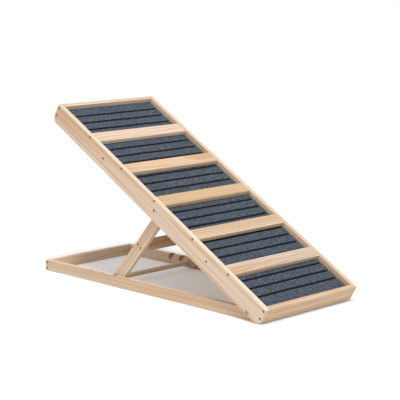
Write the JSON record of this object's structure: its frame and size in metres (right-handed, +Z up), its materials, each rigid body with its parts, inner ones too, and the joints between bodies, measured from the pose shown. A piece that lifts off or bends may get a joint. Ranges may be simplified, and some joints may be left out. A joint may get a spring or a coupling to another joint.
{
  "type": "folding pet ramp",
  "caption": "Wooden ramp with a carpeted, slatted deck that folds flat onto its base frame and stands on a prop whose foot bar rests in notches.",
  "frame": {"origin": "on the floor, in the middle of the standing ramp's footprint", "axes": "+Z up, +X towards the ramp's low end, +Y from the near side rail to the far one; the ramp stands open in its steepest notch"},
  "size_m": [0.9579, 0.4076, 0.5418],
  "materials": {
    "pine": "sanded bare pine, matt",
    "plywood": "thin bare plywood",
    "carpet": "low ribbed needle-felt carpet, dark blue-grey",
    "dark_steel": "dark phosphated steel",
    "bright_steel": "bright zinc-plated steel"
  },
  "bodies": {
    "base": {"base_corner_screw_far_lower": "dark_steel", "base_corner_screw_far_upper": "dark_steel", "base_corner_screw_near_lower": "dark_steel", "base_corner_screw_near_upper": "dark_steel", "base_cross_rail_high": "pine", "base_cross_rail_low": "pine", "base_cross_screw_far": "dark_steel", "base_cross_screw_near": "dark_steel", "base_side_rail_far": "pine", "base_side_rail_near": "pine", "fold_axis_bolt_far": "bright_steel", "fold_axis_bolt_near": "bright_steel", "fold_axis_nut_far": "bright_steel", "fold_axis_nut_near": "bright_steel"},
    "deck": {"deck_carpet": "carpet", "deck_end_rail_high": "pine", "deck_end_rail_low": "pine", "deck_high_end_screw_far_lower": "dark_steel", "deck_high_end_screw_far_upper": "dark_steel", "deck_high_end_screw_near_lower": "dark_steel", "deck_high_end_screw_near_upper": "dark_steel", "deck_ledger_far": "pine", "deck_ledger_near": "pine", "deck_ledger_screw_far_high": "dark_steel", "deck_ledger_screw_far_low": "dark_steel", "deck_ledger_screw_near_high": "dark_steel", "deck_ledger_screw_near_low": "dark_steel", "deck_low_end_screw_far_lower": "dark_steel", "deck_low_end_screw_far_upper": "dark_steel", "deck_low_end_screw_near_lower": "dark_steel", "deck_low_end_screw_near_upper": "dark_steel", "deck_panel": "plywood", "deck_side_rail_far": "pine", "deck_side_rail_near": "pine", "deck_slat_1": "pine", "deck_slat_1_screw_far": "dark_steel", "deck_slat_1_screw_near": "dark_steel", "deck_slat_2": "pine", "deck_slat_2_screw_far": "dark_steel", "deck_slat_2_screw_near": "dark_steel", "deck_slat_3": "pine", "deck_slat_3_screw_far": "dark_steel", "deck_slat_3_screw_near": "dark_steel", "deck_slat_4": "pine", "deck_slat_4_screw_far": "dark_steel", "deck_slat_4_screw_near": "dark_steel", "deck_slat_5": "pine", "deck_slat_5_screw_far": "dark_steel", "deck_slat_5_screw_near": "dark_steel", "prop_axis_bolt_far": "dark_steel", "prop_axis_bolt_near": "dark_steel"},
    "prop": {"prop_cross_bar": "pine", "prop_foot_bar": "pine", "prop_leg_far": "pine", "prop_leg_near": "pine", "prop_leg_screw_far_lower": "dark_steel", "prop_leg_screw_far_upper": "dark_steel", "prop_leg_screw_near_lower": "dark_steel", "prop_leg_screw_near_upper": "dark_steel"}
  },
  "joints": [
    {"name": "deck_fold", "type": "hinge", "parent": "base", "child": "deck", "pos_m": [0.40783, 0, 0.02736], "axis": [0, 1, 0], "range_deg": [-29.8, 0]},
    {"name": "prop_fold", "type": "hinge", "parent": "deck", "child": "prop", "pos_m": [0.03645, 0, 0.26425], "axis": [0, 1, 0], "range_deg": [0, 79.28]}
  ],
  "couplings": [
    {"joint": "prop_fold", "follows": "deck_fold", "ratio": -2.6603}
  ]
}
